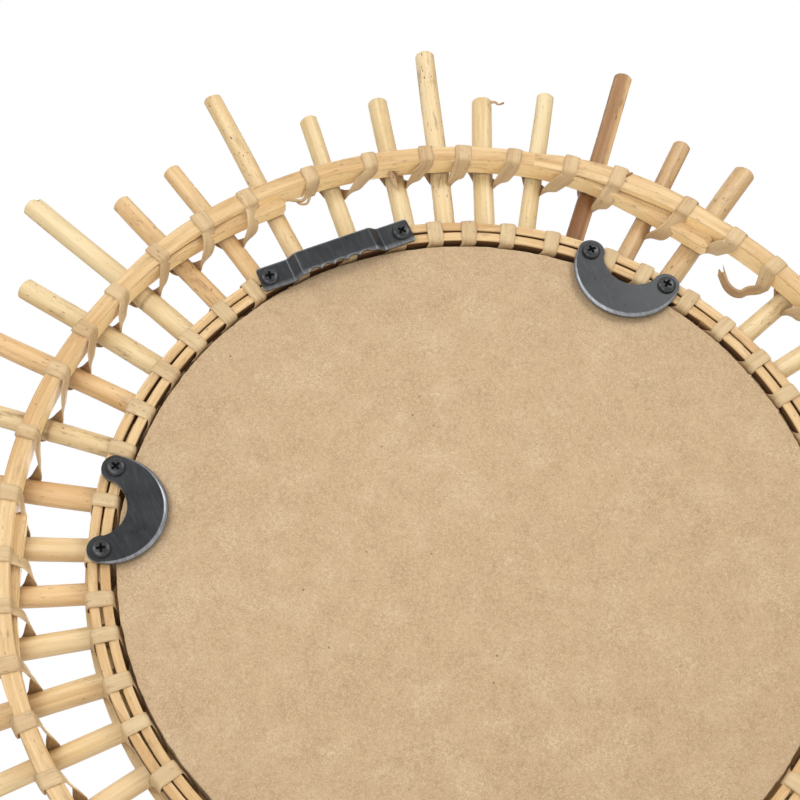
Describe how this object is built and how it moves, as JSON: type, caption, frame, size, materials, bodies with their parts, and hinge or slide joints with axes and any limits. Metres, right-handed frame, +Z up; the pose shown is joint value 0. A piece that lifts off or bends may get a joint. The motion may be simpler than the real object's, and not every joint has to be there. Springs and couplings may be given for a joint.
{
  "type": "wall mirror",
  "caption": "Round rattan sunburst wall mirror: cane rays tied with flat peel to a bent hoop and inner ring, with a backing board, clips and a toothed hanger.",
  "frame": {"origin": "middle of the back face of the hanger's bridge, where the mirror hangs", "axes": "+Z up, +Y towards the wall along the hanger face's normal, -Y out of the mirror's front, +X to the right seen from the front"},
  "size_m": [0.5011, 0.0295, 0.4978],
  "materials": {
    "ray_cane": "matte pale straw cane, faint streaks and specks",
    "brown_cane": "matte light brown cane",
    "dark_cane": "matte dark brown cane with a pale side streak",
    "hoop_cane": "satin tan bent cane with fine grain",
    "strip_cane": "matte split cane with fine grain",
    "peel": "matte cream flat peel with fine lengthwise lines",
    "board": "matte brown fibreboard with dark specks and fibres",
    "mirror": "polished silvered glass",
    "rim_cane": "satin straw cane",
    "black_steel": "satin black steel"
  },
  "bodies": {
    "root": {"ray_01": "ray_cane", "ray_02": "ray_cane", "ray_03": "ray_cane", "ray_05": "brown_cane", "ray_06": "brown_cane", "ray_07": "dark_cane", "ray_08": "ray_cane", "ray_09": "ray_cane", "ray_10": "ray_cane", "ray_11": "ray_cane", "ray_12": "ray_cane", "ray_13": "ray_cane", "ray_14": "ray_cane", "ray_15": "ray_cane", "ray_16": "ray_cane", "ray_17": "ray_cane", "ray_18": "ray_cane", "ray_19": "ray_cane", "ray_20": "ray_cane", "ray_21": "ray_cane", "ray_22": "ray_cane", "ray_23": "ray_cane", "ray_24": "ray_cane", "ray_25": "ray_cane", "ray_26": "ray_cane", "ray_27": "ray_cane", "ray_28": "ray_cane", "ray_29": "ray_cane", "ray_30": "ray_cane", "ray_31": "ray_cane", "ray_32": "ray_cane", "ray_33": "ray_cane", "ray_34": "ray_cane", "ray_35": "ray_cane", "ray_36": "ray_cane", "ray_37": "ray_cane", "ray_38": "ray_cane", "ray_39": "ray_cane", "ray_40": "ray_cane", "ray_41": "ray_cane", "ray_42": "ray_cane", "ray_43": "ray_cane", "ray_44": "ray_cane", "ray_45": "ray_cane", "ray_46": "ray_cane", "ray_47": "ray_cane", "ray_48": "ray_cane", "outer_hoop": "hoop_cane", "ring_strip_inner": "strip_cane", "ring_strip_outer": "strip_cane", "outer_lashing": "peel", "inner_lashing": "peel", "backing_board": "board", "mirror_glass": "mirror", "front_rim": "rim_cane", "sawtooth_hanger": "black_steel", "crescent_clip_1": "black_steel", "crescent_clip_2": "black_steel", "crescent_clip_3": "black_steel"}
  },
  "joints": []
}
